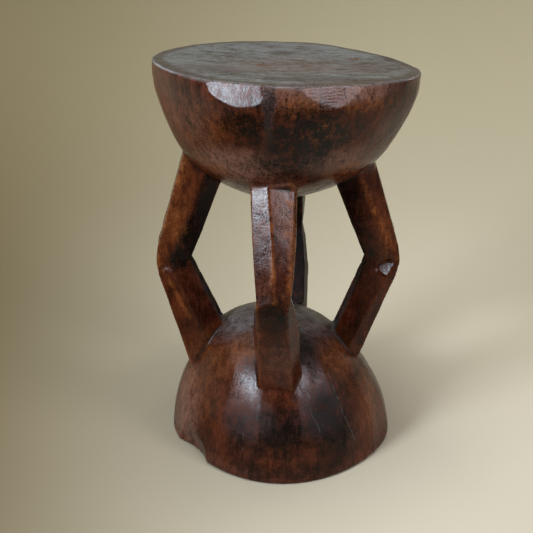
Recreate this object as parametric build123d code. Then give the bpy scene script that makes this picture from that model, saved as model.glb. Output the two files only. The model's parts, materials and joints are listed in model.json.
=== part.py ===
from build123d import *

import os
from math import atan2, cos, degrees, hypot, radians, sin

# Carved wooden stool: a round seat that is rounded below like a bowl, a domed foot, and four square-hewn
# legs that bend outwards at a knee. All sizes are in millimetres. +Z is up, the origin lies on the floor
# under the middle of the stool, and the stool faces -Y.

# ---- Seat: an upright rim band over a bowl, standing on the legs ----
SEAT_HEIGHT = 430.0  # floor to the middle of the rim plane
SEAT_RADIUS = 141.5  # mean radius of the rim
SEAT_DEPTH = 143.0  # rim plane to the lowest point of the bowl
SEAT_BAND = 12.0  # height of the upright band below the rim
SEAT_CENTRE = (1.0, -1.7)
SEAT_LEAN = (-7.0, -6.0)  # how far the bottom of the bowl lies off the middle of the rim
SEAT_TILT = 2.3  # degrees by which the rim drops towards +X
SEAT_LUMPS = ((2, 6.7, 94.0), (3, 2.8, -26.0), (4, 4.3, -11.0))
SEAT_PROFILE = ((0.972, 0.16), (0.897, 0.36), (0.793, 0.56), (0.620, 0.75), (0.365, 0.905), (0.10, 1.0))
RIM_ROUNDING = 3.0
DISH_RADIUS = 116.0  # the shallow hollow that one sits in
DISH_DEPTH = 4.0

# ---- Foot: a dome that stands on its flat underside ----
FOOT_HEIGHT = 153.0
FOOT_RADIUS = 126.0
FOOT_BAND = 7.0
FOOT_CENTRE = (-3.4, -2.3)
FOOT_LEAN = (-17.0, -5.0)
FOOT_LUMPS = ((2, 4.0, -45.0), (3, 2.3, 20.0), (4, 2.0, 0.0))
FOOT_PROFILE = ((0.965, 0.18), (0.885, 0.39), (0.757, 0.60), (0.602, 0.78), (0.370, 0.925), (0.10, 1.0))
FOOT_ROUNDING = 3.0
SCOOP_RADIUS = 75.0  # the hollow hewn out of the foot's lower edge
SCOOP_DEPTH = 9.0
SCOOP_DIRECTION = -147.0  # degrees from +X

# Lumps are (how many go round, how far they stand out, direction of the first one in degrees). A profile
# climbs from the band to the crown in steps of (share of the radius, share of the height over the band).
LUMP_FADE = 2.0  # power by which the lumps fade towards the crown
OUTLINE_POINTS = 16

# ---- Legs: four bent bars, let into the seat and the foot ----
LEG_CENTRE = (-5.0, -3.0)
KNEE_HEIGHT = 215.0
KNEE_OUT = 139.0  # legs' centre to the outer corner of the knee, before it is rounded
KNEE_ROUNDING = 3.0  # how much of that corner is taken off
KNEE_ROUND_HEIGHT = 17.0  # height above and below the knee at which the rounding begins
KNEE_IN = 97.0  # legs' centre to the notch inside the knee
ROOT_IN = 61.0  # where the inner face meets the seat
ANKLE_IN = 62.0  # where the inner face meets the foot
SOCKET_DEPTH = 16.0  # how far each leg end runs into the seat and the foot
SOCKET_CLEARANCE = 0.1
THIGH_SHARE = 0.5  # place of the section above the knee, from the knee (0) to the seat (1)
SHIN_SHARE = 0.45  # place of the section below the knee, from the knee (0) to the foot (1)

# Each place along a leg: width of the outer face, width across the side ridges, width of the inner face,
# height of the crest along the outer face, and the ridges' place from the outer (0) to the inner face (1).
ROOT_SECTION = dict(outer=43.0, across=49.0, inner=30.0, crest=3.5, ridge=0.48)
THIGH_SECTION = dict(outer=38.0, across=45.0, inner=27.0, crest=2.5, ridge=0.45)
ABOVE_KNEE_SECTION = dict(outer=34.0, across=39.0, inner=24.0, crest=1.5, ridge=0.38)
KNEE_SECTION = dict(outer=32.0, across=35.0, inner=22.0, crest=1.0, ridge=0.29)
BELOW_KNEE_SECTION = dict(outer=31.0, across=42.0, inner=25.0, crest=0.8, ridge=0.35)
SHIN_SECTION = dict(outer=32.0, across=50.0, inner=30.0, crest=0.8, ridge=0.40)
ANKLE_SECTION = dict(outer=37.0, across=47.0, inner=30.0, crest=0.8, ridge=0.45)

# Each leg: direction from the centre, turn of its sections about the upright, sideways lean of its foot end,
# how far out its outer face meets the seat (root) and the foot (ankle), and how far its side ridges lie
# nearer to the inner face.
LEGS = {
    "leg_front": dict(azimuth=-91.5, turn=-9.0, lean=4.5, root=95.0, ankle=96.0, ridge_shift=0.0),
    "leg_right": dict(azimuth=0.0, turn=-4.0, lean=0.0, root=102.0, ankle=92.0, ridge_shift=-0.07),
    "leg_back": dict(azimuth=84.5, turn=3.0, lean=-3.0, root=99.0, ankle=96.0, ridge_shift=0.0),
    "leg_left": dict(azimuth=180.0, turn=6.0, lean=2.0, root=101.0, ankle=101.5, ridge_shift=0.07),
}


class Dome:
    """A hewn round: an upright band, and over it a profile that closes towards an off-centre crown."""

    def __init__(self, radius, height, band, lean, lumps, profile):
        self.radius = radius
        self.lean = lean
        self.lumps = lumps
        self.stations = [(1.0, band)]
        self.stations += [(share, band + rise * (height - band)) for share, rise in profile]

    def reach(self, direction, share):
        """Distance from a ring's middle to its outline, for the ring of this share of the radius."""
        lump = sum(out * cos(radians(count * (direction - at))) for count, out, at in self.lumps)
        return share * (self.radius + lump * share**LUMP_FADE)

    def share_at(self, x, y):
        """Share of the radius of the ring that passes through a point."""
        share = 1.0
        for _ in self.stations:
            dx = x - self.lean[0] * (1.0 - share)
            dy = y - self.lean[1] * (1.0 - share)
            share *= hypot(dx, dy) / self.reach(degrees(atan2(dy, dx)), share)
        return share

    def height_at(self, x, y):
        """Height of the surface over a point."""
        share = self.share_at(x, y)
        for (outer, low), (inner, high) in zip(self.stations, self.stations[1:]):
            if inner <= share <= outer:
                return low + (high - low) * (outer - share) / (outer - inner)
        return self.stations[-1][1] if share < 1.0 else 0.0

    def ring(self, share, z):
        points = []
        for step in range(OUTLINE_POINTS):
            direction = 360.0 * step / OUTLINE_POINTS
            reach = self.reach(direction, share)
            x = self.lean[0] * (1.0 - share) + reach * cos(radians(direction))
            y = self.lean[1] * (1.0 - share) + reach * sin(radians(direction))
            points.append((x, y, z))
        return make_face(Spline(*points, periodic=True).edges())

    def solid(self):
        """The dome, crown up, with its widest outline in the XY plane."""
        band = extrude(self.ring(1.0, 0.0), self.stations[0][1], dir=(0, 0, 1))
        return band + loft([self.ring(*station) for station in self.stations])


BOWL = Dome(SEAT_RADIUS, SEAT_DEPTH, SEAT_BAND, SEAT_LEAN, SEAT_LUMPS, SEAT_PROFILE)
FOOT = Dome(FOOT_RADIUS, FOOT_HEIGHT, FOOT_BAND, FOOT_LEAN, FOOT_LUMPS, FOOT_PROFILE)


def leg_point(azimuth, at):
    """The floor point at a distance from the legs' centre, in a leg's direction."""
    return LEG_CENTRE[0] + at * cos(radians(azimuth)), LEG_CENTRE[1] + at * sin(radians(azimuth))


def under_seat(azimuth, at):
    """Where a leg meets the bowl: distance from the legs' centre, and height."""
    x, y = leg_point(azimuth, at)
    x, y = x - SEAT_CENTRE[0], y - SEAT_CENTRE[1]
    tilt = radians(SEAT_TILT)
    depth = BOWL.height_at(x, y)
    depth = BOWL.height_at(x + depth * sin(tilt), y)
    return at, SEAT_HEIGHT - depth * cos(tilt) - x * sin(tilt)


def over_foot(azimuth, at):
    """Where a leg meets the foot: distance from the legs' centre, and height."""
    x, y = leg_point(azimuth, at)
    return at, FOOT.height_at(x - FOOT_CENTRE[0], y - FOOT_CENTRE[1])


def lerp(a, b, share):
    return tuple(p + share * (q - p) for p, q in zip(a, b))


def beyond(start, end, distance):
    """The point that lies a distance past end, on the line from start."""
    length = hypot(end[0] - start[0], end[1] - start[1])
    return lerp(start, end, (length + distance) / length)


def leg_section(out, inside, outer, across, inner, crest, ridge, side, turn, grow):
    """One seven-cornered section of a leg. out and inside are its outer and inner (distance, height)."""
    axis = (out[0] + inside[0]) / 2
    ridges = lerp(out, inside, ridge)
    top = beyond(inside, out, crest + grow)
    out, inside = beyond(inside, out, grow), beyond(out, inside, grow)

    def corner(at, width):
        reach = at[0] - axis
        x = axis + reach * cos(turn) - width * sin(turn)
        return x, side + reach * sin(turn) + width * cos(turn), at[1]

    outer, across, inner = (0.5 * width + grow for width in (outer, across, inner))
    corners = [corner(out, outer), corner(top, 0.0), corner(out, -outer), corner(ridges, -across)]
    corners += [corner(inside, -inner), corner(inside, inner), corner(ridges, across)]
    return make_face(Polyline(*corners, close=True).edges())


def leg(azimuth, turn, lean, root, ankle, ridge_shift, grow=0.0):
    """A bent leg, from its end in the foot to its end in the seat. grow makes it larger all round."""
    knee = ((KNEE_OUT, KNEE_HEIGHT), (KNEE_IN, KNEE_HEIGHT))
    rounded = ((KNEE_OUT - KNEE_ROUNDING, KNEE_HEIGHT), knee[1])
    upper = (under_seat(azimuth, root), under_seat(azimuth, ROOT_IN))
    lower = (over_foot(azimuth, ankle), over_foot(azimuth, ANKLE_IN))

    def section(limb, share, sizes):
        out = lerp(knee[0], limb[0], share)
        inside = lerp(knee[1], limb[1], share)
        side = lean * (KNEE_HEIGHT - out[1]) / KNEE_HEIGHT
        sizes = dict(sizes, ridge=sizes["ridge"] + ridge_shift)
        return leg_section(out, inside, side=side, turn=radians(turn), grow=grow, **sizes)

    def near_knee(limb):
        return KNEE_ROUND_HEIGHT / abs(limb[0][1] - KNEE_HEIGHT)

    def sunk(limb):
        return tuple(beyond(bend, end, SOCKET_DEPTH) for bend, end in zip(knee, limb))

    bar = loft(
        [
            section(sunk(lower), 1.0, ANKLE_SECTION),
            section(lower, SHIN_SHARE, SHIN_SECTION),
            section(lower, near_knee(lower), BELOW_KNEE_SECTION),
            section(rounded, 1.0, KNEE_SECTION),
            section(upper, near_knee(upper), ABOVE_KNEE_SECTION),
            section(upper, THIGH_SHARE, THIGH_SECTION),
            section(sunk(upper), 1.0, ROOT_SECTION),
        ],
        ruled=True,
    )
    return Pos(*LEG_CENTRE, 0) * Rot(0, 0, azimuth) * bar


def with_sockets(body):
    for place in LEGS.values():
        body -= leg(**place, grow=SOCKET_CLEARANCE)
    return body


def seat():
    """The bowl, dished on top, with a socket for each leg."""
    bowl = BOWL.solid()
    bowl = fillet(bowl.edges().group_by(Axis.Z)[0], RIM_ROUNDING)
    curve = (DISH_RADIUS**2 + DISH_DEPTH**2) / (2 * DISH_DEPTH)
    bowl -= Pos(0, 0, DISH_DEPTH - curve) * Sphere(curve)
    bowl = mirror(bowl, Plane.XY)
    return with_sockets(Pos(*SEAT_CENTRE, SEAT_HEIGHT) * Rot(0, SEAT_TILT, 0) * bowl)


def foot():
    """The dome, flat underneath, with a scoop out of its lower edge and a socket for each leg."""
    dome = FOOT.solid()
    dome = fillet(dome.edges().group_by(Axis.Z)[0], FOOT_ROUNDING)
    scoop_at = FOOT.reach(SCOOP_DIRECTION, 1.0) - SCOOP_DEPTH + SCOOP_RADIUS
    dome -= Rot(0, 0, SCOOP_DIRECTION) * Pos(scoop_at, 0, 0) * Sphere(SCOOP_RADIUS)
    return with_sockets(Pos(*FOOT_CENTRE, 0) * dome)


os.makedirs("parts", exist_ok=True)
export_step(seat(), "parts/seat.step")
export_step(foot(), "parts/foot.step")
for name, place in LEGS.items():
    export_step(leg(**place), f"parts/{name}.step")
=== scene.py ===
"""A low stool hewn from one log: a bowl shaped seat on four bent legs and a domed foot.

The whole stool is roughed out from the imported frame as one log, so its wood and its tool marks run on from
piece to piece. The log is hewn, worn and marked, and is then parted into the seat, the four legs and the
foot. Lengths are in metres, as in the frame.
"""

import json
import math

import bmesh
import bpy
import numpy as np
from mathutils import Matrix, Vector
from mathutils.bvhtree import BVHTree

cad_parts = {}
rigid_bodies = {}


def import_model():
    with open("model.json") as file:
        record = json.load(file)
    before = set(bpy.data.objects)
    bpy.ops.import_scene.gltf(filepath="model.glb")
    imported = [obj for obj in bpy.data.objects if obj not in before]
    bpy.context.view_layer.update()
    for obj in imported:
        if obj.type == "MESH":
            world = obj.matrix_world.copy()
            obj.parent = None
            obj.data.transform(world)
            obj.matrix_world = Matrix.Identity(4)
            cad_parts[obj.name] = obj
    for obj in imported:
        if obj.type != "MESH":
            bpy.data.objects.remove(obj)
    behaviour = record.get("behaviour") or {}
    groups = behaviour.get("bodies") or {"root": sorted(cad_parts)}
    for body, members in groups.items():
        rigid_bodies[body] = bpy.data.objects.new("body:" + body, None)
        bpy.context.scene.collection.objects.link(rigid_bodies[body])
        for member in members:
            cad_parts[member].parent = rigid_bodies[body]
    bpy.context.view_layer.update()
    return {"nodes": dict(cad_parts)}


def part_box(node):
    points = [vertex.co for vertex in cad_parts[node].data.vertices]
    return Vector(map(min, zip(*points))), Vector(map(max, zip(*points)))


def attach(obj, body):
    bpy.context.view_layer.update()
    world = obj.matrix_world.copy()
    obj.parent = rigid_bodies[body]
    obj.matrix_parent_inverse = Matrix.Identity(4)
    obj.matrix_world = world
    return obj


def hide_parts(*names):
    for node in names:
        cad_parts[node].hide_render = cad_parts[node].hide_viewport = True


bl_info = {
    "name": "Hewn log stool",
    "version": (1, 0, 0),
    "blender": (4, 5, 0),
    "location": "3D View > Sidebar > Stool",
    "description": "Hews a four legged stool from one log and gives it its worn wood",
    "category": "Add Mesh",
}

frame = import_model()

# The highest points of the seat and the foot.
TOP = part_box("seat")[1].z
FOOT_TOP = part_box("foot")[1].z

# The middle of the growth rings, seen from above, and how fast they turn outwards, in radians a metre.
PITH = (0.0, 0.078)
RING_TURN = 1350.0

# The way each leg points from the middle of the stool, in degrees.
LEG_DIRECTIONS = {"leg_front": -91.5, "leg_right": 0.0, "leg_back": 84.5, "leg_left": 180.0}

# The saw cuts that part a leg from the seat and the foot: their slopes in degrees, how far they reach, and
# how far they stay clear of the dome.
SEAT_ROOT_SLOPE = -45.0
FOOT_ROOT_SLOPE = 40.0
ROOT_REACH = 0.052
ROOT_CLEARANCE = 0.002

# The stub at each end of a leg: its width as a share of the sawn end, its length, and the play round it in
# its socket.
TENON_SHARE = 0.86
TENON_DEPTH = 0.014
TENON_PLAY = 0.0001
LEG_HALF_WIDTH = 0.02

# How strongly the adze flattens the bowl and the foot into strips, and how far the strips' edges waver, in
# radians.
BOWL_FLATNESS = 0.35
FOOT_FLATNESS = 0.42
STRIP_WAVER = 0.07

# How far the cut under the rim and the flats of single strokes waver.
BEVEL_WAVER = 0.0008
STROKE_WAVER = 0.0003

# How much of their depth the side legs' flanks lean in, and how far the rear leg's right flank is turned.
SIDE_LEG_TAPER = 0.13
REAR_FLANK_TURN = 0.0100

DOME_ROUGHNESS = 0.26
LEG_ROUGHNESS = 0.22

# The paper lies flat to here, curves up with this radius, and then stands straight for this height.
PAPER_FLAT = 1.0
PAPER_BEND = 3.0
PAPER_RISE = 1.5

# The paper's colours: on the left near the stool, on the left far from it, elsewhere far from it, and in
# front of it. On the left and in front they are painted shade. The glow is that of its far parts.
PAPER_NEAR_LEFT_SHADE = (0.104, 0.074, 0.027, 1.0)
PAPER_FAR_LEFT_SHADE = (0.30, 0.240, 0.128, 1.0)
PAPER_FAR = (0.61, 0.54, 0.36, 1.0)
PAPER_FRONT_SHADE = (0.12, 0.105, 0.08, 1.0)
PAPER_GLOW = (0.27, 0.243, 0.182, 1.0)
NO_GLOW = (0.0, 0.0, 0.0, 1.0)

# The soft boxes: place, width and height, and colour. All of them point at one place.
LAMP_AIM = Vector((0.0, 0.0, 0.24))
LAMPS = {
    "key": ((-1.42, -1.38, 1.14), (0.62, 0.54), (0.78, 0.88, 1.0)),
    "top": ((-0.1, -0.15, 2.1), (0.9, 0.9), (0.95, 0.97, 1.0)),
    "fill": ((1.54, -1.27, 1.36), (0.76, 0.74), (0.92, 0.90, 1.0)),
    "back_left": ((-1.75, 1.95, 1.30), (0.9, 0.7), (0.86, 0.93, 1.0)),
    "back_right": ((2.05, 1.65, 1.30), (0.9, 0.7), (0.95, 0.97, 1.0)),
}
WORLD_COLOUR = (0.40, 0.37, 0.32, 1.0)
WORLD_STRENGTH = 0.4

# The camera's tilt is in degrees from straight down, and its lens in millimetres.
CAMERA_PLACE = (-0.005, -1.012, 0.588)
CAMERA_TILT = 69.06
CAMERA_LENS = 64.9
CAMERA_SHIFT = -0.022

# Flats that one stroke of the adze or the knife left on a leg: a point on the cut, the azimuth and the rise
# of the way it faces in degrees, the reach of the stroke along x, y and z, and how much the flat bellies out
# along its height.
STROKES = {
    "front thigh, left": ((-0.0120, -0.1155, 0.2880), -112, 18.5, (0.040, 0.10, 0.115), 0.5),
    "front thigh, right": ((-0.0120, -0.1155, 0.2880), -70, 21.5, (0.040, 0.10, 0.115), 0.8),
    "left thigh, outer edge": ((-0.1290, -0.0215, 0.2820), -128, 13, (0.05, 0.05, 0.050), 0.0),
    "right thigh, outside": ((0.1030, -0.0245, 0.2670), -62, 9.5, (0.06, 0.06, 0.055), 0.0),
    "right knee": ((0.1180, -0.0212, 0.2065), -113, 20, (0.015, 0.03, 0.0090), 0.0),
    "left knee": ((-0.1280, -0.0216, 0.2050), -101, 22, (0.006, 0.03, 0.0065), 0.0),
}

# Flats under the rim, either side of the check, in the same terms.
RIM_STROKES = {
    "left": ((-0.0449, -0.1384, 0.4222), -108, 19.3, (0.070, 0.060, 0.035), 0.0),
    "right": ((0.0604, -0.1255, 0.4203), -65, 16.5, (0.070, 0.060, 0.035), 0.0),
}

# Edges of the legs that are worn to amber: both ends, the reach across and the strength.
WORN_EDGES = {
    "left thigh, outer edge": ((-0.106, -0.026, 0.332), (-0.141, -0.020, 0.238), 0.0042, 0.9),
    "left shin": ((-0.131, -0.021, 0.204), (-0.104, -0.027, 0.150), 0.0024, 0.7),
    "right thigh": ((0.084, -0.026, 0.306), (0.120, -0.022, 0.232), 0.0036, 0.8),
    "right thigh, outer edge": ((0.112, -0.018, 0.292), (0.130, -0.018, 0.236), 0.0030, 0.6),
    "right knee": ((0.122, -0.018, 0.206), (0.106, -0.022, 0.182), 0.0024, 0.8),
    "front thigh, ridge": ((-0.012, -0.103, 0.322), (-0.010, -0.141, 0.214), 0.0018, 0.6),
    "front thigh, right edge": ((0.0105, -0.096, 0.328), (0.0125, -0.133, 0.222), 0.0062, 1.0),
    "front thigh, right flank": ((0.0150, -0.088, 0.325), (0.0170, -0.122, 0.222), 0.0100, 1.0),
    "front knee": ((-0.026, -0.136, 0.222), (0.014, -0.138, 0.214), 0.0050, 0.35),
}

# The cut round under the front of the rim: azimuth in degrees, the height where the cut starts, and how much
# it leans back.
BEVEL = (
    (-131, 0.4300, 0.00),
    (-126, 0.4270, 0.05),
    (-121, 0.4230, 0.15),
    (-111, 0.4180, 0.25),
    (-101, 0.4140, 0.20),
    (-98, 0.4110, 0.14),
    (-94, 0.4120, 0.14),
    (-88, 0.4110, 0.22),
    (-75, 0.4060, 0.24),
    (-60, 0.4080, 0.24),
    (-45, 0.4120, 0.22),
    (-36, 0.4150, 0.15),
    (-30, 0.4300, 0.00),
)

# The knot under the rim: its middle, its reach, and how fast its rings turn outwards.
KNOT = (0.040, -0.138, 0.410)
KNOT_REACH = (0.034, 0.05, 0.012)
KNOT_TURN = 25.0

# The open check at the front: where it stands along x, half its width, and how much wider it is above.
CHECK_PLACE = -0.0135
CHECK_HALF_WIDTH = 0.0042
CHECK_WIDENING = 0.0023

# Hairline cracks: both ends. They wander sideways by up to half of CRACK_WANDER.
CRACK_WANDER = 0.004
CRACKS = {
    "front of the foot": ((0.018, -0.093, 0.100), (0.040, -0.112, 0.053)),
    "front of the foot, right": ((0.049, -0.071, 0.104), (0.080, -0.091, 0.031)),
    "front of the foot, left": ((-0.043, -0.111, 0.055), (-0.043, -0.117, 0.034)),
    "rim, over the knot": ((0.059, -0.130, 0.410), (0.056, -0.133, 0.424)),
}

# Where soot and handling have blackened the wood, and where shade is painted black, as on the back leg in
# the seat's shade: middle, reach and strength.
SOOT_AND_SHADE = {
    "left of the check": ((-0.034, -0.142, 0.394), (0.026, 0.020, 0.032), 0.8),
    "right of the check": ((0.004, -0.146, 0.404), (0.010, 0.020, 0.012), 0.6),
    "under the knot": ((0.026, -0.135, 0.380), (0.048, 0.030, 0.034), 1.0),
    "right of the knot": ((0.066, -0.118, 0.388), (0.024, 0.025, 0.016), 0.5),
    "bowl, right": ((0.118, -0.075, 0.392), (0.030, 0.045, 0.035), 0.45),
    "pith": ((0.0, 0.076, 0.428), (0.014, 0.013, 0.020), 0.75),
    "seat, front left": ((-0.070, -0.060, 0.427), (0.040, 0.030, 0.020), 0.45),
    "seat, front": ((0.020, -0.100, 0.427), (0.060, 0.018, 0.020), 0.5),
    "seat, right": ((0.095, -0.020, 0.427), (0.030, 0.050, 0.020), 0.45),
    "over the front leg": ((0.004, -0.122, 0.352), (0.040, 0.025, 0.018), 0.7),
    "front knee": ((-0.008, -0.139, 0.200), (0.022, 0.020, 0.020), 0.9),
    "front shin": ((-0.006, -0.125, 0.125), (0.020, 0.020, 0.036), 0.35),
    "bowl, under the left of the rim": ((-0.098, -0.104, 0.412), (0.026, 0.026, 0.018), 0.4),
    "right of the front toe": ((0.045, -0.098, 0.074), (0.019, 0.025, 0.026), 0.95),
    "front of the foot": ((0.000, -0.122, 0.056), (0.036, 0.025, 0.030), 0.9),
    "front of the foot, right": ((0.050, -0.102, 0.055), (0.038, 0.030, 0.044), 1.0),
    "front of the foot, left": ((-0.050, -0.106, 0.052), (0.012, 0.025, 0.026), 0.6),
    "bottom of the foot": ((0.010, -0.124, 0.014), (0.070, 0.030, 0.012), 0.65),
    "inside the right leg": ((0.020, -0.062, 0.127), (0.018, 0.020, 0.016), 0.7),
    # painted shade: the back leg's inner face lies in the shade of the seat
    "back leg": ((0.020, 0.100, 0.230), (0.040, 0.060, 0.150), 1.0),
}

# Painted shade, with some soot, on the inner faces of the thighs, along straight lines: both ends, the reach
# across and the strength.
SHADE_AND_SOOT_EDGES = {
    "left thigh, inside": ((-0.0680, -0.022, 0.312), (-0.0865, -0.022, 0.264), 0.0115, 1.0),
    "left thigh, inside, low": ((-0.0865, -0.022, 0.264), (-0.1100, -0.022, 0.217), 0.0125, 1.0),
    "right thigh, inside": ((0.0640, -0.022, 0.312), (0.0960, -0.022, 0.222), 0.0110, 0.6),
}

# Where the polish has gone dull.
DULL = {
    "foot, over the left sheen": ((-0.032, -0.078, 0.120), (0.030, 0.030, 0.010), 0.8),
    "foot, under the left sheen": ((-0.042, -0.108, 0.066), (0.030, 0.030, 0.018), 0.9),
    "foot, under the right sheen": ((0.045, -0.098, 0.072), (0.026, 0.030, 0.024), 1.0),
    "foot, right of the toe": ((0.058, -0.080, 0.096), (0.012, 0.020, 0.014), 0.7),
}

# Where the stain has worn through to amber wood.
AMBER = {
    "under the band": ((0.022, -0.146, 0.412), (0.034, 0.020, 0.009), 0.9),
    "under the band, right": ((0.075, -0.120, 0.407), (0.034, 0.030, 0.006), 0.8),
    "mark on the seat": ((-0.021, -0.007, 0.427), (0.007, 0.004, 0.02), 0.8),
    "mark by the pith": ((0.076, 0.044, 0.427), (0.009, 0.004, 0.02), 0.8),
    "glaze under the knot": ((0.036, -0.130, 0.380), (0.018, 0.020, 0.016), 0.7),
    "by the right root": ((0.064, -0.085, 0.336), (0.026, 0.030, 0.010), 0.7),
    "by the left root": ((-0.078, -0.090, 0.338), (0.026, 0.030, 0.012), 0.5),
    "left haunch": ((-0.086, -0.050, 0.110), (0.026, 0.040, 0.024), 0.45),
    "left flank": ((-0.094, -0.068, 0.080), (0.022, 0.040, 0.026), 0.35),
    "left thigh": ((-0.116, -0.024, 0.285), (0.018, 0.020, 0.050), 0.55),
    "left knee": ((-0.132, -0.022, 0.225), (0.012, 0.020, 0.016), 0.4),
    "right thigh": ((0.116, -0.022, 0.252), (0.012, 0.020, 0.040), 0.45),
    "beside the front leg": ((-0.044, -0.062, 0.126), (0.016, 0.020, 0.018), 0.9),
    "right haunch": ((0.062, -0.046, 0.112), (0.028, 0.030, 0.020), 0.85),
    "right flank": ((0.098, -0.052, 0.062), (0.012, 0.030, 0.036), 0.8),
    "front of the foot": ((0.004, -0.124, 0.034), (0.024, 0.020, 0.024), 0.14),
    "bowl, left": ((-0.075, -0.115, 0.385), (0.030, 0.030, 0.030), 0.25),
}

# Where handling has bleached the stain to a dull brown, and where a sheen is painted in that brown.
FADING_AND_SHEEN = {
    "band past the knot": ((0.078, -0.118, 0.419), (0.030, 0.030, 0.010), 1.0),
    "middle of the seat": ((0.010, -0.010, 0.427), (0.075, 0.050, 0.020), 0.7),
    "band by the check": ((0.006, -0.148, 0.419), (0.022, 0.030, 0.010), 0.8),
    "band at the knot": ((0.036, -0.140, 0.420), (0.034, 0.030, 0.010), 0.85),
    "bowl, low at the left": ((-0.050, -0.110, 0.345), (0.045, 0.040, 0.020), 0.9),
    "bowl, left": ((-0.100, -0.090, 0.390), (0.040, 0.050, 0.035), 0.25),
    "bowl, low at the right": ((0.050, -0.105, 0.350), (0.032, 0.030, 0.014), 0.8),
    "bottom edge of the foot": ((0.0, -0.105, 0.006), (0.100, 0.050, 0.009), 0.15),
    "left edge of the foot": ((-0.112, -0.045, 0.050), (0.020, 0.040, 0.050), 0.6),
    "toe of the front leg": ((-0.006, -0.125, 0.125), (0.018, 0.020, 0.030), 0.35),
    "front thigh, right": ((0.002, -0.108, 0.302), (0.012, 0.025, 0.034), 0.7),
}


def smoothstep(low, high, values):
    """0 below low, 1 above high and a smooth rise between them."""
    share = np.clip((values - low) / (high - low), 0.0, 1.0)
    return share * share * (3.0 - 2.0 * share)


def facing(azimuth, rise):
    """The unit vector that points to an azimuth and a rise, both in degrees."""
    turn, lift = math.radians(azimuth), math.radians(rise)
    return np.array((math.cos(turn) * math.cos(lift), math.sin(turn) * math.cos(lift), math.sin(lift)))


def lumps(places, cell, seed):
    """Smooth random values from -1 to 1, one for each place, on a lattice of that cell size."""
    scaled = places / cell
    corner = np.floor(scaled).astype(np.int64)
    part = scaled - corner
    part = part * part * (3.0 - 2.0 * part)
    total = np.zeros(len(places))
    for step in np.ndindex(2, 2, 2):
        key = corner + step
        mixed = key[:, 0] * 73856093 ^ key[:, 1] * 19349663 ^ key[:, 2] * 83492791 ^ seed * 2654435
        mixed = (mixed ^ (mixed >> 13)) * 1274126177 & 0x7FFFFFFF
        value = (mixed ^ (mixed >> 16)) % 65536 / 32768.0 - 1.0
        total += value * np.prod(np.where(step, part, 1.0 - part), axis=1)
    return total


def blotches(places, spots, seed, ragged=0.22, cell=0.012):
    """How far each place lies inside a set of ragged ellipsoids, from 0 to 1."""
    total = np.zeros(len(places))
    ragged_edge = ragged * (lumps(places, cell, seed) + 0.5 * lumps(places, cell / 2.3, seed + 1))
    for middle, reach, strength in spots.values():
        away = np.linalg.norm((places - middle) / reach, axis=1)
        total = np.maximum(total, strength * smoothstep(1.65, 0.25, away + ragged_edge))
    return total


def along_edges(places, edges, seed, ragged=0.5):
    """How near each place lies to a set of straight edges, from 0 to 1."""
    total = np.zeros(len(places))
    ragged_edge = ragged * lumps(places, 0.007, seed)
    for start, end, reach, strength in edges.values():
        run = np.subtract(end, start)
        share = np.clip((places - start) @ run / (run @ run), 0.0, 1.0)
        away = np.linalg.norm(places - start - share[:, None] * run, axis=1) / reach
        total = np.maximum(total, strength * smoothstep(1.8, 0.4, away + ragged_edge))
    return total


class Skin:
    """The vertices of one mesh as arrays, for carving by moving them."""

    def __init__(self, mesh):
        self.mesh = mesh
        count = len(mesh.vertices)
        self.places = np.zeros(count * 3)
        mesh.vertices.foreach_get("co", self.places)
        self.places = self.places.reshape(-1, 3)
        ends = np.zeros(len(mesh.edges) * 2, dtype=np.int64)
        mesh.edges.foreach_get("vertices", ends)
        self.ends = ends.reshape(-1, 2)
        self.neighbours = np.bincount(ends, minlength=count)

    def around(self, values):
        """The mean of each vertex's neighbours."""
        first, second = self.ends.T
        count = len(self.places)
        total = np.bincount(first, values[second], count) + np.bincount(second, values[first], count)
        return total / np.maximum(self.neighbours, 1)

    def around_all(self, values):
        """The mean of each vertex's neighbours, for vectors."""
        return np.stack([self.around(column) for column in values.T], axis=1)

    def soften(self, rounds, strength=0.5):
        """Smooths without shrinking: each round draws the vertices in and lets them out again."""
        for _ in range(rounds):
            self.places += strength * (self.around_all(self.places) - self.places)
            self.places -= 1.04 * strength * (self.around_all(self.places) - self.places)

    def spread(self, values, rounds):
        """Spreads values over the neighbours a number of times."""
        for _ in range(rounds):
            values = 0.5 * values + 0.5 * self.around(values)
        return values

    def normals(self, rounds=0):
        """The vertex normals, spread over their neighbours."""
        self.store()
        found = np.zeros(len(self.places) * 3)
        self.mesh.vertices.foreach_get("normal", found)
        found = found.reshape(-1, 3)
        for _ in range(rounds):
            found = 0.5 * found + 0.5 * self.around_all(found)
        return found / np.maximum(np.linalg.norm(found, axis=1, keepdims=True), 1e-9)

    def bulge(self, rounds):
        """How far each vertex stands proud of its surroundings, in metres. A hollow is below zero."""
        normals = self.normals(2)
        around = self.places
        for _ in range(rounds):
            around = self.around_all(around)
        return np.sum((self.places - around) * normals, axis=1)

    def mark(self, name, values):
        """Writes one value for each vertex into a named attribute."""
        self.mesh.attributes.new(name, "FLOAT", "POINT").data.foreach_set("value", values.astype(np.float32))

    def store(self):
        """Writes the places back into the mesh."""
        self.mesh.vertices.foreach_set("co", self.places.astype(np.float32).ravel())
        self.mesh.update()


def rough_log(voxel):
    """One closed skin round all the nodes of the frame, in even quads."""
    shape = bmesh.new()
    for node in frame["nodes"].values():
        shape.from_mesh(node.data)
    bmesh.ops.remove_doubles(shape, verts=shape.verts, dist=1e-6)
    mesh = bpy.data.meshes.new("log")
    shape.to_mesh(mesh)
    shape.free()
    rough = bpy.data.objects.new("log", mesh)
    bpy.context.collection.objects.link(rough)
    remesh = rough.modifiers.new("voxels", "REMESH")
    remesh.mode = "VOXEL"
    remesh.voxel_size = voxel
    remesh.use_smooth_shade = True
    graph = bpy.context.evaluated_depsgraph_get()
    log = bpy.data.meshes.new_from_object(rough.evaluated_get(graph))
    bpy.data.objects.remove(rough)
    bpy.data.meshes.remove(mesh)
    return log


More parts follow.
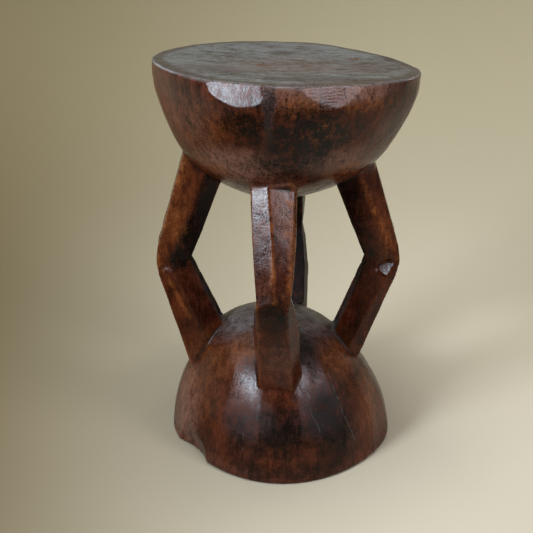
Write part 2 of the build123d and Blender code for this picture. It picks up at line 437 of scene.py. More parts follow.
def bevel(skin):
    """Leans the wall back above the line where the cut under the rim starts."""
    azimuth = np.degrees(np.arctan2(skin.places[:, 1], skin.places[:, 0]))
    azimuths, starts, leans = zip(*BEVEL)
    start = np.interp(azimuth, azimuths, starts) + BEVEL_WAVER * lumps(skin.places, 0.011, 12)
    lean = np.interp(azimuth, azimuths, leans, left=0.0, right=0.0)
    shift = np.maximum(skin.places[:, 2] - start, 0.0) * lean
    inwards = -skin.places[:, :2] / np.linalg.norm(skin.places[:, :2], axis=1, keepdims=True)
    rim = smoothstep(0.085, 0.115, np.linalg.norm(skin.places[:, :2], axis=1))
    skin.places[:, :2] += inwards * (shift * rim)[:, None]


def hew(skin, region, strips, strength, seed):
    """Flattens a round region into upright strips of uneven width, as the adze leaves it."""
    widths = np.random.default_rng(seed).uniform(0.6, 1.4, strips)
    edges = np.concatenate(([0.0], np.cumsum(widths))) / np.sum(widths) * 2 * math.pi - math.pi
    azimuth = np.arctan2(skin.places[:, 1], skin.places[:, 0])
    azimuth = azimuth + STRIP_WAVER * lumps(skin.places, 0.06, seed)
    azimuth = (azimuth + math.pi) % (2 * math.pi) - math.pi
    strip = np.clip(np.searchsorted(edges, azimuth) - 1, 0, strips - 1)
    half = (edges[strip + 1] - edges[strip]) / 2
    chord = np.cos(half) / np.cos(azimuth - edges[strip] - half)
    skin.places[:, :2] *= (1.0 - strength * region * (1.0 - chord))[:, None]


def taper(skin, legs):
    """Leans in the side legs' flanks towards their backs, and turns the rear leg's right flank."""
    normals = skin.normals(5)
    side = legs * smoothstep(0.040, 0.050, np.abs(skin.places[:, 0]))
    flank = smoothstep(0.8, 0.3, np.abs(normals[:, 1]))
    depth = np.clip(skin.places[:, 1] + 0.024, 0.0, 0.040)
    skin.places -= normals * (SIDE_LEG_TAPER * depth * flank * side)[:, None]
    rear = legs * smoothstep(0.045, 0.060, skin.places[:, 1]) * smoothstep(0.002, 0.018, skin.places[:, 0])
    skin.places[:, 0] -= REAR_FLANK_TURN * rear * skin.normals(10)[:, 1]


def strike(skin, stroke, region):
    """Cuts one named flat, where the region allows it."""
    middle, azimuth, rise, reach, belly = stroke
    way = facing(azimuth, rise)
    away = skin.places - middle
    inside = region * smoothstep(1.15, 0.85, np.linalg.norm(away / reach, axis=1))
    uneven = STROKE_WAVER * lumps(skin.places, 0.024, 14)
    above = np.maximum(away @ way + belly * away[:, 2] ** 2 + uneven, 0.0)
    skin.places -= way * (above * inside)[:, None]


def saw(mesh, cuts):
    """Saws the log through at the cuts, into objects of their own."""
    centres = np.zeros(len(mesh.polygons) * 3)
    mesh.polygons.foreach_get("center", centres)
    centres = centres.reshape(-1, 3)
    shape = bmesh.new()
    shape.from_mesh(mesh)
    shape.faces.ensure_lookup_table()
    sawn = []
    for middle, way in cuts:
        away = centres - middle
        near = (np.linalg.norm(away, axis=1) < ROOT_REACH) & (np.abs(away @ way) < 2 * ROOT_CLEARANCE)
        faces = [shape.faces[index] for index in np.flatnonzero(near)]
        sawn.append((faces, middle, way))
    for faces, middle, way in sawn:
        edges = {edge for face in faces for edge in face.edges}
        verts = {vert for face in faces for vert in face.verts}
        cut = bmesh.ops.bisect_plane(
            shape, geom=[*faces, *edges, *verts], dist=1e-6, plane_co=middle, plane_no=way
        )["geom_cut"]
        bmesh.ops.split_edges(shape, edges=[item for item in cut if isinstance(item, bmesh.types.BMEdge)])
    shape.to_mesh(mesh)
    shape.free()
    log = bpy.data.objects.new("log", mesh)
    bpy.context.collection.objects.link(log)
    chosen = {"active_object": log, "selected_objects": [log], "selected_editable_objects": [log]}
    with bpy.context.temp_override(**chosen):
        bpy.ops.mesh.separate(type="LOOSE")


def take_part(place):
    """The mesh of the sawn part that lies nearest to a place. Its object is removed."""
    parts = [item for item in bpy.data.objects if item.name.startswith("log")]
    nearest = min(parts, key=lambda item: (item.closest_point_on_mesh(place)[1] - place).length)
    shape = bmesh.new()
    shape.from_mesh(nearest.data)
    bpy.data.objects.remove(nearest)
    return shape


def joint(shape, inwards):
    """Closes each sawn end, and lets in a socket or leaves a stub to fit it."""
    old = set(shape.faces)
    bmesh.ops.holes_fill(shape, edges=[edge for edge in shape.edges if edge.is_boundary], sides=0)
    caps = [face for face in shape.faces if face not in old]
    play = TENON_PLAY if inwards else 0.0
    depth = -(TENON_DEPTH + play) if inwards else TENON_DEPTH
    for cap in caps:
        cap.normal_update()
        way = cap.normal.copy()
        centre = cap.calc_center_median()
        shoulder = bmesh.ops.extrude_discrete_faces(shape, faces=[cap])["faces"][0]
        share = TENON_SHARE + play / LEG_HALF_WIDTH
        bmesh.ops.scale(shape, vec=(share,) * 3, space=Matrix.Translation(-centre), verts=shoulder.verts)
        end = bmesh.ops.extrude_discrete_faces(shape, faces=[shoulder])["faces"][0]
        bmesh.ops.translate(shape, vec=way * depth, verts=end.verts)
    fresh = [face for face in shape.faces if face not in old]
    for face in fresh:
        face.smooth = False
        for edge in face.edges:
            edge.smooth = False
    bmesh.ops.triangulate(shape, faces=[face for face in fresh if len(face.verts) > 4])


class Shader:
    """One output socket of a material's nodes, so that its maths is written as Python expressions."""

    def __init__(self, tree, socket=None):
        self.tree = tree
        self.socket = socket

    def node(self, kind, settings, values, output=0):
        """Adds a node: its settings first, then what its sockets hold or are linked to."""
        made = self.tree.nodes.new(kind)
        for name, value in settings.items():
            setattr(made, name, value)
        for name, value in values.items():
            if isinstance(value, Shader):
                self.tree.links.new(value.socket, made.inputs[name])
            else:
                made.inputs[name].default_value = value
        return Shader(self.tree, made.outputs[output])

    def maths(self, operation, *values, clamp=False):
        """A Math node on numbers."""
        settings = {"operation": operation, "use_clamp": clamp}
        return self.node("ShaderNodeMath", settings, dict(enumerate(values)))

    def __add__(self, other):
        return self.maths("ADD", self, other)

    def __sub__(self, other):
        return self.maths("SUBTRACT", self, other)

    def __rsub__(self, other):
        return self.maths("SUBTRACT", other, self)

    def __mul__(self, other):
        return self.maths("MULTIPLY", self, other)

    __radd__ = __add__
    __rmul__ = __mul__

    def power(self, other):
        return self.maths("POWER", self, other)

    def most(self, other):
        return self.maths("MAXIMUM", self, other)

    def held(self):
        """Kept from 0 to 1."""
        return self.maths("ADD", self, 0.0, clamp=True)

    def span(self, low, high):
        """0 at low, 1 at high and a smooth rise between them."""
        settings = {"interpolation_type": "SMOOTHSTEP"}
        return self.node("ShaderNodeMapRange", settings, {"Value": self, "From Min": low, "From Max": high})

    def vector(self, operation, *values, output=0):
        """A Vector Math node."""
        return self.node("ShaderNodeVectorMath", {"operation": operation}, dict(enumerate(values)), output)

    def noise(self, scale, detail=3.0, roughness=0.5, distortion=0.0):
        """A noise that reads this socket as its place."""
        values = {"Vector": self, "Scale": scale, "Detail": detail}
        values.update({"Roughness": roughness, "Distortion": distortion})
        return self.node("ShaderNodeTexNoise", {}, values)

    def axis(self, number):
        """One number of this place: 0 for x, 1 for y and 2 for z."""
        return self.node("ShaderNodeSeparateXYZ", {}, {0: self}, output=number)

    def cracks(self):
        """1 on the hairlines and 0 a millimetre off them, seen from the front. This socket is the place."""
        total = 0.0
        flat = (1.0, 0.0, 1.0)
        aside = CRACK_WANDER / 2
        for start, end in CRACKS.values():
            run = (Vector(end) - Vector(start)) * Vector(flat)
            away = self.vector("SUBTRACT", self, (start[0] + aside, 0.0, start[2] + aside))
            away = self.vector("MULTIPLY", away, flat)
            along = away.vector("DOT_PRODUCT", away, tuple(run / run.length_squared), output=1).held()
            steps = {0: along * run.x, 1: along * run.y, 2: along * run.z}
            foot = away.node("ShaderNodeCombineXYZ", {}, steps)
            gap = away.vector("DISTANCE", away, foot, output=1)
            total = gap.span(0.0008, 0.0001) + total
        return total * self.axis(1).span(-0.03, -0.05)

    def mark(self, name):
        """A value that was written on the vertices."""
        return self.node("ShaderNodeAttribute", {"attribute_name": name}, {}, output=2)

    def mix(self, factor, first, second):
        """A colour between two others."""
        return self.node("ShaderNodeMix", {"data_type": "RGBA"}, {0: factor, 6: first, 7: second}, output=2)


def rgba(colour):
    """An opaque colour."""
    return (*colour[:3], 1.0)


def log_wood(name, patina, base_roughness):
    """Stained, handled hardwood whose grain runs up the log, with painted shade and painted sheen, in one
    material.
    """
    material = bpy.data.materials.new(name)
    material.use_nodes = True
    tree = material.node_tree
    surface = tree.nodes["Principled BSDF"]
    wood = Shader(tree)

    place = wood.node("ShaderNodeTexCoord", {}, {}, output=3)
    along = place.vector("MULTIPLY", place, (1.0, 1.0, 0.05))
    drawn = place.vector("MULTIPLY", place, (1.0, 1.0, 0.20))
    fibre = along.noise(800.0, 3.0, 0.6)
    pores = along.noise(420.0, 2.0, 0.5)
    streak = drawn.noise(210.0, 4.0, 0.60, 0.3)
    figure = drawn.noise(42.0, 4.0, 0.6, 0.8)
    cloud = place.noise(14.0, 4.0, 0.55)
    mottle = place.noise(110.0, 5.0, 0.68)
    speck = place.noise(560.0, 4.0, 0.65)
    rubbed = place.vector("MULTIPLY", place, (0.2, 1.0, 1.0)).noise(150.0, 4.0, 0.65, 0.4)

    # growth rings round the pith, and round the knot under the rim
    flat = place.vector("MULTIPLY", place.vector("SUBTRACT", place, (*PITH, 0.0)), (1.0, 1.0, 0.0))
    radius = flat.vector("LENGTH", flat, output=1) + place.noise(9.0, 3.0) * 0.022
    turning = radius * RING_TURN
    rings = turning.maths("SINE", turning) * 0.5 + 0.5
    sides = place.axis(0)
    depth = place.axis(1)
    round_pith = place.node("ShaderNodeCombineXYZ", {}, {0: radius, 1: sides * 0.12, 2: depth * 0.12})
    ring_streak = round_pith.noise(190.0, 5.0, 0.65, 0.6)
    from_knot = wood.mark("knot") + (place.noise(48.0, 3.0) - 0.5) * 0.8
    knot = from_knot.span(1.6, 0.8)
    knot_turning = from_knot * KNOT_TURN
    knot_rings = knot_turning.maths("SINE", knot_turning) * 0.5 + 0.5

    wear, hollow_grime_and_shade, soot_and_shade, amber = (wood.mark(name) for name in ("wear", "hollow_grime_and_shade", "soot_and_shade", "amber"))
    dust_and_sheen, check, dull, fading_and_sheen = (wood.mark(name) for name in ("dust_and_sheen", "check", "dull", "fading_and_sheen"))
    rim, inside_rim = wood.mark("rim"), wood.mark("inside_rim")

    # stained wood, darker and lighter along the grain, and darker low down
    high = place.axis(2).span(0.10, 0.34) * 0.45 + 0.55
    tone = (cloud * 0.36 + figure * 0.44 + mottle * 0.20).span(0.38, 0.60) * (high * 0.5 + 0.5)
    colour = place.mix(tone, rgba(patina.dark_stain), rgba(patina.red_stain))
    grain_light = (streak - 0.5) * 2.1 + (fibre - 0.5) * 1.4 + (speck - 0.5) * 2.0 + (mottle - 0.5) * 0.9
    colour = place.mix((0.27 - grain_light).held() * 0.75, colour, rgba(patina.soot_and_shade))
    # bleached stain, and in the same dull brown a painted sheen on the band under the rim, low on the bowl,
    # on the front thigh and at the left edge of the foot
    colour = place.mix((fading_and_sheen * (0.45 + mottle * 0.6 + grain_light)).held(), colour, rgba(patina.fading_and_sheen))
    # worn through to amber, speckled where it is half gone
    broken = ((mottle - 0.5) * 2.0 + (speck - 0.5) * 1.6 + (streak - 0.5) * 1.4) * high
    worn = (amber + wear * 0.5).held()
    bare = (worn * (0.72 + broken * 1.4)).held()
    lit = place.mix(grain_light.held(), rgba(patina.red_stain), rgba(patina.bare_wood))
    colour = place.mix(bare, colour, place.mix((0.5 + broken).held(), lit, rgba(patina.bare_wood)))
    # soot and grime, and painted shade in hollows, on the legs' inner faces and in the seat's shade, in soft
    # patches that the grain breaks up
    soot_and_shade_share = (soot_and_shade * (1.05 - broken * 1.4)).held() * 0.98
    colour = place.mix(soot_and_shade_share, colour, rgba(patina.soot_and_shade))
    colour = place.mix((hollow_grime_and_shade * (0.85 + mottle)).held() * 0.92, colour, rgba(patina.soot_and_shade))
    knot_line = knot * knot_rings.power(2.0) * mottle.span(0.40, 0.58)
    colour = place.mix(knot_line * 0.6, colour, rgba(patina.soot_and_shade))
    # a grey film of dust and wax on what faces up, which also paints the sheen that the top reflects and is
    # paler towards the back; thin where soot and painted shade lie, where it is worn or faded and inside the
    # rim
    dustiness_and_sheen = (
        cloud * 0.20 + rubbed * 0.42 + mottle * 0.38 + (speck - 0.5) * 0.5 + depth.span(0.0, 0.12) * 0.06
    ).span(0.41, 0.58)
    grey = place.mix(dustiness_and_sheen, rgba(patina.thin_dust_and_sheen), rgba(patina.dust_and_sheen))
    kept = (1.0 - soot_and_shade * 0.85) * (1.0 - inside_rim * 0.4) * (1.0 - fading_and_sheen * 0.45) * (1.0 - worn * 0.8)
    thick = dust_and_sheen * (0.62 + 0.22 * ring_streak + 0.45 * cloud) * kept
    colour = place.mix(thick.held(), colour, grey)
    colour = place.mix(inside_rim * (mottle + 0.1).held() * 0.8, colour, rgba(patina.thin_dust_and_sheen))
    # a painted highlight: a pale line along the rounded edge of the rim
    colour = place.mix(rim * (speck * 1.6 - 0.2).held() * 0.5, colour, rgba(patina.dust_and_sheen))
    # the open, pitted check
    pitted = check * speck.span(0.44, 0.53)
    colour = place.mix(check * 0.4, colour, rgba(patina.check_wood))
    colour = place.mix(pitted * 0.9, colour, rgba(patina.soot_and_shade))
    # hairlines with dust in them
    stray = place.node("ShaderNodeTexNoise", {}, {"Vector": place, "Scale": 70.0, "Detail": 3.0}, output=1)
    wandering = place.vector("MULTIPLY_ADD", stray, (CRACK_WANDER,) * 3, place)
    cracks = wandering.cracks() * mottle.span(0.38, 0.55)
    colour = place.mix(cracks * 0.22, colour, rgba(patina.dust_and_sheen))

    roughness = (
        base_roughness + (0.5 - cloud) * 0.20 + (mottle - 0.5) * 0.40
        + (speck - 0.5) * 0.35 + (streak - 0.5) * 0.30
        + hollow_grime_and_shade * 0.20 + check * 0.30 + dust_and_sheen * (0.65 - dustiness_and_sheen * 0.5) * 0.35 + dull * 0.32 + soot_and_shade * 0.04
    )
    level = place.vector("MULTIPLY", place, (0.25, 0.25, 1.0))
    ripples = level.noise(330.0, 3.0, 0.55)
    height = (
        fibre * 0.08 + pores.span(0.42, 0.30) * -0.03 + streak * 0.22 + mottle * 0.36 + rings * 0.02
        + speck * 0.09 + pitted * -0.8 + cracks * -0.3 + knot_line * -0.12 + ring_streak * dust_and_sheen * 0.12
        + ripples * 0.12
    )
    bump = height.node("ShaderNodeBump", {}, {"Strength": 0.6, "Distance": 0.0010, "Height": height})

    tree.links.new(colour.socket, surface.inputs["Base Color"])
    tree.links.new(roughness.held().socket, surface.inputs["Roughness"])
    tree.links.new(bump.socket, surface.inputs["Normal"])
    surface.inputs["IOR"].default_value = 1.28
    return material


class StoolLog(bpy.types.PropertyGroup):
    """How the log is hewn."""

    voxel: bpy.props.FloatProperty(
        name="Grain of the skin", description="Side of the quads that the log is carved in",
        default=0.00165, unit="LENGTH",
    )
    bowl_strips: bpy.props.IntProperty(
        name="Strips on the bowl", description="Flat strips round the bowl", default=22,
    )
    foot_strips: bpy.props.IntProperty(
        name="Strips on the foot", description="Flat strips round the foot", default=19,
    )
    waver: bpy.props.FloatProperty(
        name="Waver", description="How far the surfaces waver from true",
        default=0.0007, unit="LENGTH",
    )


class StoolPatina(bpy.types.PropertyGroup):
    """The colours of the wood and its patina."""

    red_stain: bpy.props.FloatVectorProperty(
        name="Red stain", description="Stained wood",
        subtype="COLOR", default=(0.092, 0.0185, 0.0052),
    )
    dark_stain: bpy.props.FloatVectorProperty(
        name="Dark stain", description="Darker clouds in the stain",
        subtype="COLOR", default=(0.026, 0.0046, 0.0016),
    )
    bare_wood: bpy.props.FloatVectorProperty(
        name="Bare wood", description="Wood where the stain has worn through",
        subtype="COLOR", default=(0.182, 0.058, 0.0135),
    )
    # also the colour of a painted sheen
    fading_and_sheen: bpy.props.FloatVectorProperty(
        name="Faded stain", description="Stain that handling has bleached",
        subtype="COLOR", default=(0.165, 0.080, 0.056),
    )
    # also the black of the painted shade on inner faces and in hollows
    soot_and_shade: bpy.props.FloatVectorProperty(
        name="Soot", description="Blackened wood",
        subtype="COLOR", default=(0.0024, 0.0006, 0.0003),
    )
    # also the colour of the sheen painted on the top
    dust_and_sheen: bpy.props.FloatVectorProperty(
        name="Film", description="Grey wax and dust on top",
        subtype="COLOR", default=(0.138, 0.145, 0.143),
    )
    thin_dust_and_sheen: bpy.props.FloatVectorProperty(
        name="Film, dark", description="The film where it is thin",
        subtype="COLOR", default=(0.052, 0.048, 0.036),
    )
    check_wood: bpy.props.FloatVectorProperty(
        name="Check", description="Grey wood in the open check",
        subtype="COLOR", default=(0.052, 0.032, 0.024),
    )


class StoolStage(bpy.types.PropertyGroup):
    """The plain stage round the stool."""

    paper: bpy.props.FloatVectorProperty(
        name="Paper", description="Floor round the stool",
        subtype="COLOR", default=(0.515, 0.463, 0.350),
    )
    key: bpy.props.FloatProperty(
        name="Key", description="Power of the soft box on the left", default=59.0, unit="POWER",
    )
    top: bpy.props.FloatProperty(
        name="Top", description="Power of the soft box overhead", default=24.0, unit="POWER",
    )
    back: bpy.props.FloatProperty(
        name="Back", description="Power of each of the two soft boxes behind", default=9.0, unit="POWER",
    )
    fill: bpy.props.FloatProperty(
        name="Fill", description="Power of the fill on the right", default=27.5, unit="POWER",
    )


def node_places(node):
    """Where the vertices of a node of the frame are."""
    return np.array([vert.co for vert in frame["nodes"][node].data.vertices])


def root_cut(leg, node, slope):
    """A point on the plane that parts a leg from the seat or the foot, and the way the plane faces."""
    way = facing(LEG_DIRECTIONS[leg], slope)
    limit = np.max(node_places(node) @ way) + ROOT_CLEARANCE
    of_leg = node_places(leg)
    near = of_leg[np.abs(of_leg @ way - limit) < 0.010]
    middle = near.mean(axis=0)
    return Vector(middle + way * (limit - middle @ way)), Vector(way)


def domes_alone(places):
    """1 on the seat and the foot, and 0 on the legs."""
    shape = bmesh.new()
    shape.from_mesh(frame["nodes"]["seat"].data)
    shape.from_mesh(frame["nodes"]["foot"].data)
    domes = BVHTree.FromBMesh(shape)
    shape.free()
    away = np.array([domes.find_nearest(place)[3] for place in places])
    return smoothstep(0.0040, 0.0015, away)


def finish_piece(shape, name, node, material):
    """Makes the piece's object, in the place of its node."""
    mesh = bpy.data.meshes.new(name)
    shape.to_mesh(mesh)
    shape.free()
    mesh.materials.append(material)
    piece = bpy.data.objects.new(name, mesh)
    bpy.context.collection.objects.link(piece)
    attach(piece, "root")
    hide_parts(node)


class STOOL_OT_log(bpy.types.Operator):
    """Rough out the whole stool as one log and hew, wear and mark its surface"""

    bl_idname = "stool.log"
    bl_label = "Rough out the log"

    def execute(self, context):
        settings = context.scene.stool_log
        voxel = settings.voxel
        mesh = rough_log(voxel)
        skin = Skin(mesh)
        skin.soften(4)
        height = skin.places[:, 2]
        domes = domes_alone(skin.places)
        on_bowl = domes * smoothstep(0.25, 0.26, height) * smoothstep(TOP - 0.012, TOP - 0.020, height)
        on_foot = domes * smoothstep(0.004, 0.012, height)
        on_foot *= smoothstep(FOOT_TOP - 0.015, FOOT_TOP - 0.050, height)
        legs = 1.0 - domes
        hew(skin, on_bowl, settings.bowl_strips, BOWL_FLATNESS, seed=5)
        hew(skin, on_foot, settings.foot_strips, FOOT_FLATNESS, seed=9)
        bevel(skin)
        taper(skin, legs)
        # the two flats of the rim meet at the right edge of the check
        past_check = smoothstep(-0.0085, -0.0055, skin.places[:, 0])
        strike(skin, RIM_STROKES["left"], domes * (1.0 - past_check))
        strike(skin, RIM_STROKES["right"], domes * past_check)
        for stroke in STROKES.values():
            strike(skin, stroke, legs)
        self.waver(skin, legs, settings.waver)
        skin.soften(1)
        skin.store()
        self.mark(skin, domes)
        cuts = [root_cut(leg, "seat", SEAT_ROOT_SLOPE) for leg in LEG_DIRECTIONS]
        cuts += [root_cut(leg, "foot", FOOT_ROOT_SLOPE) for leg in LEG_DIRECTIONS]
        saw(mesh, cuts)
        return {"FINISHED"}

    def waver(self, skin, legs, strength):
        """Lifts and sinks the surfaces a little, less on the legs and under the front of the rim."""
        wave = lumps(skin.places, 0.045, 3) + 0.5 * lumps(skin.places, 0.019, 4)
        wave += 0.22 * lumps(skin.places, 0.009, 6)
        lift = smoothstep(0.0005, 0.006, skin.places[:, 2]) * (1.0 - 0.35 * legs)
        high = smoothstep(0.405, 0.412, skin.places[:, 2])
        under_rim = 0.65 * high * smoothstep(-0.09, -0.11, skin.places[:, 1])
        skin.places += skin.normals(4) * (strength * wave * (lift * (1.0 - under_rim)))[:, None]

    def mark(self, skin, domes):
        """Writes wear, grime and painted shade in hollows, soot and painted shade, dullness, amber, fading
        and painted sheen, dust and painted sheen, the rim's painted highlight, knot and check on the
        vertices.
        """
        places = skin.places
        normals = skin.normals(3)
        proud = skin.spread(skin.bulge(10), 2)
        handled = 0.25 + 0.75 * (1.0 - domes)
        handled *= smoothstep(0.004, 0.05, places[:, 2])
        skin.mark("wear", handled * smoothstep(0.0002, 0.0012, proud))
        # hollows are darkened: grime, and painted shade
        skin.mark("hollow_grime_and_shade", smoothstep(-0.0004, -0.0025, skin.spread(skin.bulge(22), 3)))
        outwards = places[:, :2] / np.linalg.norm(places[:, :2], axis=1, keepdims=True)
        # painted shade: the legs' faces that turn inwards are blackened
        inner_shade = smoothstep(0.1, 0.45, -np.sum(normals[:, :2] * outwards, axis=1)) * (1.0 - domes)
        inner_shade *= 0.80 + 0.20 * smoothstep(0.19, 0.24, places[:, 2])
        soot_and_shade_share = np.maximum(blotches(places, SOOT_AND_SHADE, 21), along_edges(places, SHADE_AND_SOOT_EDGES, 71, 0.2))
        skin.mark("soot_and_shade", np.maximum(soot_and_shade_share, inner_shade))
        skin.mark("dull", np.maximum(inner_shade, blotches(places, DULL, 61)))
        skin.mark("amber", np.maximum(blotches(places, AMBER, 31), along_edges(places, WORN_EDGES, 51)))
        skin.mark("fading_and_sheen", blotches(places, FADING_AND_SHEEN, 41))
        # what faces up near the top gets dust, and the painted sheen of the top
        up = smoothstep(0.55, 0.95, normals[:, 2])
        on_top = smoothstep(TOP - 0.030, TOP - 0.020, places[:, 2])
        on_foot = smoothstep(FOOT_TOP + 0.01, FOOT_TOP, places[:, 2])
        skin.mark("dust_and_sheen", up * np.maximum(on_top, 0.55 * on_foot))
        # the rounded edge of the rim, which gets a painted highlight
        rim = on_top * smoothstep(0.30, 0.50, normals[:, 2]) * smoothstep(0.94, 0.80, normals[:, 2])
        skin.mark("rim", rim)
        level = on_top * smoothstep(0.90, 0.98, normals[:, 2])
        skin.mark("inside_rim", level * smoothstep(0.004, 0.06, skin.spread(rim, 60)))
        skin.mark("knot", np.linalg.norm((places - KNOT) / KNOT_REACH, axis=1))
        half_width = CHECK_HALF_WIDTH + CHECK_WIDENING * smoothstep(0.400, 0.415, places[:, 2])
        band = np.abs(places[:, 0] - CHECK_PLACE) / half_width
        tall = smoothstep(0.335, 0.415, places[:, 2]) * smoothstep(TOP - 0.003, TOP - 0.010, places[:, 2])
        front = smoothstep(-0.09, -0.11, places[:, 1])
        skin.mark("check", smoothstep(1.15, 0.8, band + 0.15 * lumps(places, 0.006, 8)) * tall * front)


class STOOL_OT_seat(bpy.types.Operator):
    """Part the bowl shaped seat from the log, with a socket for each leg"""

    bl_idname = "stool.seat"
    bl_label = "Seat"

    def execute(self, context):
        shape = take_part(Vector((0.0, 0.0, TOP)))
        joint(shape, inwards=True)
        wood = log_wood("seat_wood", context.scene.stool_patina, DOME_ROUGHNESS)
        finish_piece(shape, "seat_bowl", "seat", wood)
        return {"FINISHED"}


class STOOL_OT_legs(bpy.types.Operator):
    """Part the four bent legs from the log, each with a stub at both ends"""

    bl_idname = "stool.legs"
    bl_label = "Legs"

    def execute(self, context):
        wood = log_wood("leg_wood", context.scene.stool_patina, LEG_ROUGHNESS)
        for leg in LEG_DIRECTIONS:
            low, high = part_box(leg)
            knee = (low + high) / 2 + 0.05 * Vector(facing(LEG_DIRECTIONS[leg], 0.0))
            shape = take_part(knee)
            joint(shape, inwards=False)
            finish_piece(shape, leg + "_bent", leg, wood)
        return {"FINISHED"}


class STOOL_OT_foot(bpy.types.Operator):
    """Part the domed foot from the log, with a socket for each leg"""

    bl_idname = "stool.foot"
    bl_label = "Foot"

    def execute(self, context):
        shape = take_part(Vector((0.0, 0.0, FOOT_TOP)))
        joint(shape, inwards=True)
        wood = log_wood("foot_wood", context.scene.stool_patina, DOME_ROUGHNESS)
        finish_piece(shape, "foot_dome", "foot", wood)
        return {"FINISHED"}


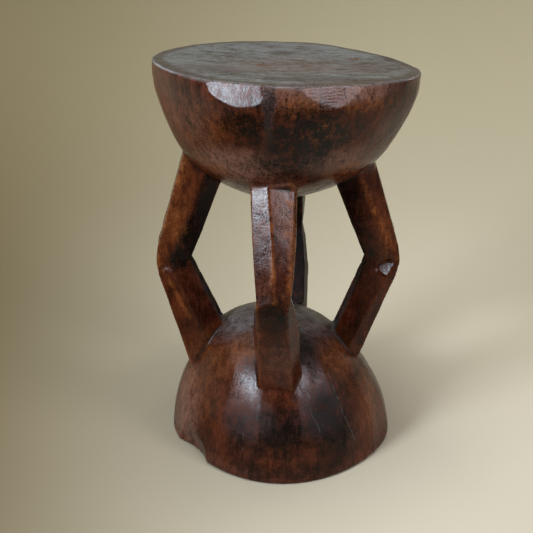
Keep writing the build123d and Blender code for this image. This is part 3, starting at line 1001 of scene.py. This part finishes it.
class STOOL_OT_stage(bpy.types.Operator):
    """Set the floor, the backdrop, the lamps and the camera"""

    bl_idname = "stool.stage"
    bl_label = "Stage"

    def execute(self, context):
        stage = context.scene.stool_stage
        self.backdrop(stage)
        powers = (stage.key, stage.top, stage.fill, stage.back, stage.back)
        for (name, lamp), power in zip(LAMPS.items(), powers):
            self.lamp(name, *lamp, power)
        world = bpy.data.worlds.new("studio")
        world.use_nodes = True
        background = world.node_tree.nodes["Background"]
        background.inputs["Color"].default_value = WORLD_COLOUR
        background.inputs["Strength"].default_value = WORLD_STRENGTH
        context.scene.world = world
        context.scene.view_settings.view_transform = "Standard"
        camera_data = bpy.data.cameras.new("camera")
        camera_data.lens = CAMERA_LENS
        camera_data.shift_x = CAMERA_SHIFT
        camera = bpy.data.objects.new("camera", camera_data)
        camera.location = CAMERA_PLACE
        camera.rotation_euler = (math.radians(CAMERA_TILT), 0.0, 0.0)
        context.scene.collection.objects.link(camera)
        context.scene.camera = camera
        return {"FINISHED"}

    def backdrop(self, stage):
        """A sheet of paper that lies flat under the stool and curves up all round it."""
        shape = bmesh.new()
        middle, bend = (shape.verts.new((x, 0.0, 0.0)) for x in (0.0, PAPER_FLAT))
        shape.edges.new((middle, bend))
        bent = bmesh.ops.spin(
            shape, geom=[bend], cent=(PAPER_FLAT, 0.0, PAPER_BEND), axis=(0.0, -1.0, 0.0),
            angle=math.pi / 2, steps=24,
        )["geom_last"]
        raised = bmesh.ops.extrude_vert_indiv(shape, verts=bent)["verts"]
        bmesh.ops.translate(shape, vec=(0.0, 0.0, PAPER_RISE), verts=raised)
        profile = [*shape.verts, *shape.edges]
        bmesh.ops.spin(
            shape, geom=profile, cent=(0.0, 0.0, 0.0), axis=(0.0, 0.0, 1.0),
            angle=2 * math.pi, steps=96, use_merge=True,
        )
        bmesh.ops.remove_doubles(shape, verts=shape.verts, dist=1e-4)
        bmesh.ops.recalc_face_normals(shape, faces=shape.faces)
        for face in shape.faces:
            face.smooth = True
        mesh = bpy.data.meshes.new("backdrop")
        shape.to_mesh(mesh)
        shape.free()
        mesh.materials.append(self.paper(stage))
        sheet = bpy.data.objects.new("backdrop", mesh)
        bpy.context.scene.collection.objects.link(sheet)
        return sheet

    def paper(self, stage):
        """Pale paper with painted shade on the left and in front of the stool. Its far parts glow faintly.
        """
        material = bpy.data.materials.new("paper")
        material.use_nodes = True
        surface = material.node_tree.nodes["Principled BSDF"]
        paper = Shader(material.node_tree)
        place = paper.node("ShaderNodeTexCoord", {}, {}, output=3)
        across = place.axis(0)
        back = place.axis(1)
        aside = across.maths("DIVIDE", across, (back + 1.0).most(0.0) * 0.42 + 0.35)
        # painted shade, deepest to the left of the stool
        out_of_left_shade = aside.span(-0.70, 0.30).most(aside.span(-0.55, -1.15))
        near = place.mix(out_of_left_shade, PAPER_NEAR_LEFT_SHADE, rgba(stage.paper))
        far = place.mix(out_of_left_shade, PAPER_FAR_LEFT_SHADE, PAPER_FAR)
        colour = place.mix(back.span(-0.2, 2.2), near, far)
        # painted shade in front of the stool, which also darkens the wood's reflections
        front = back.span(-0.22, -0.65)
        colour = place.mix(front * 0.8, colour, PAPER_FRONT_SHADE)
        away = across.maths("ABSOLUTE", across).span(0.9, 2.4) * back.span(1.8, -0.2)
        beyond = back.span(-1.0, -2.4).most(away)
        rays = ("Is Camera Ray", "Is Glossy Ray", "Is Transmission Ray")
        camera, glossy, through = (paper.node("ShaderNodeLightPath", {}, {}, output=ray) for ray in rays)
        glow = place.mix(beyond * (camera + glossy + through).held(), NO_GLOW, PAPER_GLOW)
        material.node_tree.links.new(colour.socket, surface.inputs["Base Color"])
        material.node_tree.links.new(glow.socket, surface.inputs["Emission Color"])
        surface.inputs["Emission Strength"].default_value = 1.0
        surface.inputs["Roughness"].default_value = 0.9
        surface.inputs["Specular IOR Level"].default_value = 0.0
        return material

    def lamp(self, name, place, size, colour, power):
        """An oblong soft box."""
        light = bpy.data.lights.new(name, "AREA")
        light.shape = "RECTANGLE"
        light.size, light.size_y = size
        light.energy = power
        light.color = colour
        lamp = bpy.data.objects.new(name, light)
        lamp.location = place
        lamp.rotation_euler = (LAMP_AIM - Vector(place)).to_track_quat("-Z", "Y").to_euler()
        bpy.context.scene.collection.objects.link(lamp)


class STOOL_PT_panel(bpy.types.Panel):
    """Sizes, colours and the steps of the stool"""

    bl_label = "Hewn log stool"
    bl_space_type = "VIEW_3D"
    bl_region_type = "UI"
    bl_category = "Stool"

    def draw(self, context):
        for group in (context.scene.stool_log, context.scene.stool_patina, context.scene.stool_stage):
            box = self.layout.box()
            for name in group.bl_rna.properties.keys():
                if name not in ("rna_type", "name"):
                    box.prop(group, name)
        for step in STEPS:
            self.layout.operator(step.bl_idname)


STEPS = (STOOL_OT_log, STOOL_OT_seat, STOOL_OT_legs, STOOL_OT_foot, STOOL_OT_stage)
GROUPS = {"stool_log": StoolLog, "stool_patina": StoolPatina, "stool_stage": StoolStage}


def register():
    for kind in (*GROUPS.values(), *STEPS, STOOL_PT_panel):
        bpy.utils.register_class(kind)
    for name, group in GROUPS.items():
        setattr(bpy.types.Scene, name, bpy.props.PointerProperty(type=group))


def unregister():
    for name in GROUPS:
        delattr(bpy.types.Scene, name)
    for kind in (STOOL_PT_panel, *reversed(STEPS), *reversed(GROUPS.values())):
        bpy.utils.unregister_class(kind)


def main():
    register()
    bpy.ops.stool.log()
    bpy.ops.stool.seat()
    bpy.ops.stool.legs()
    bpy.ops.stool.foot()
    bpy.ops.stool.stage()


if __name__ == "__main__":
    main()
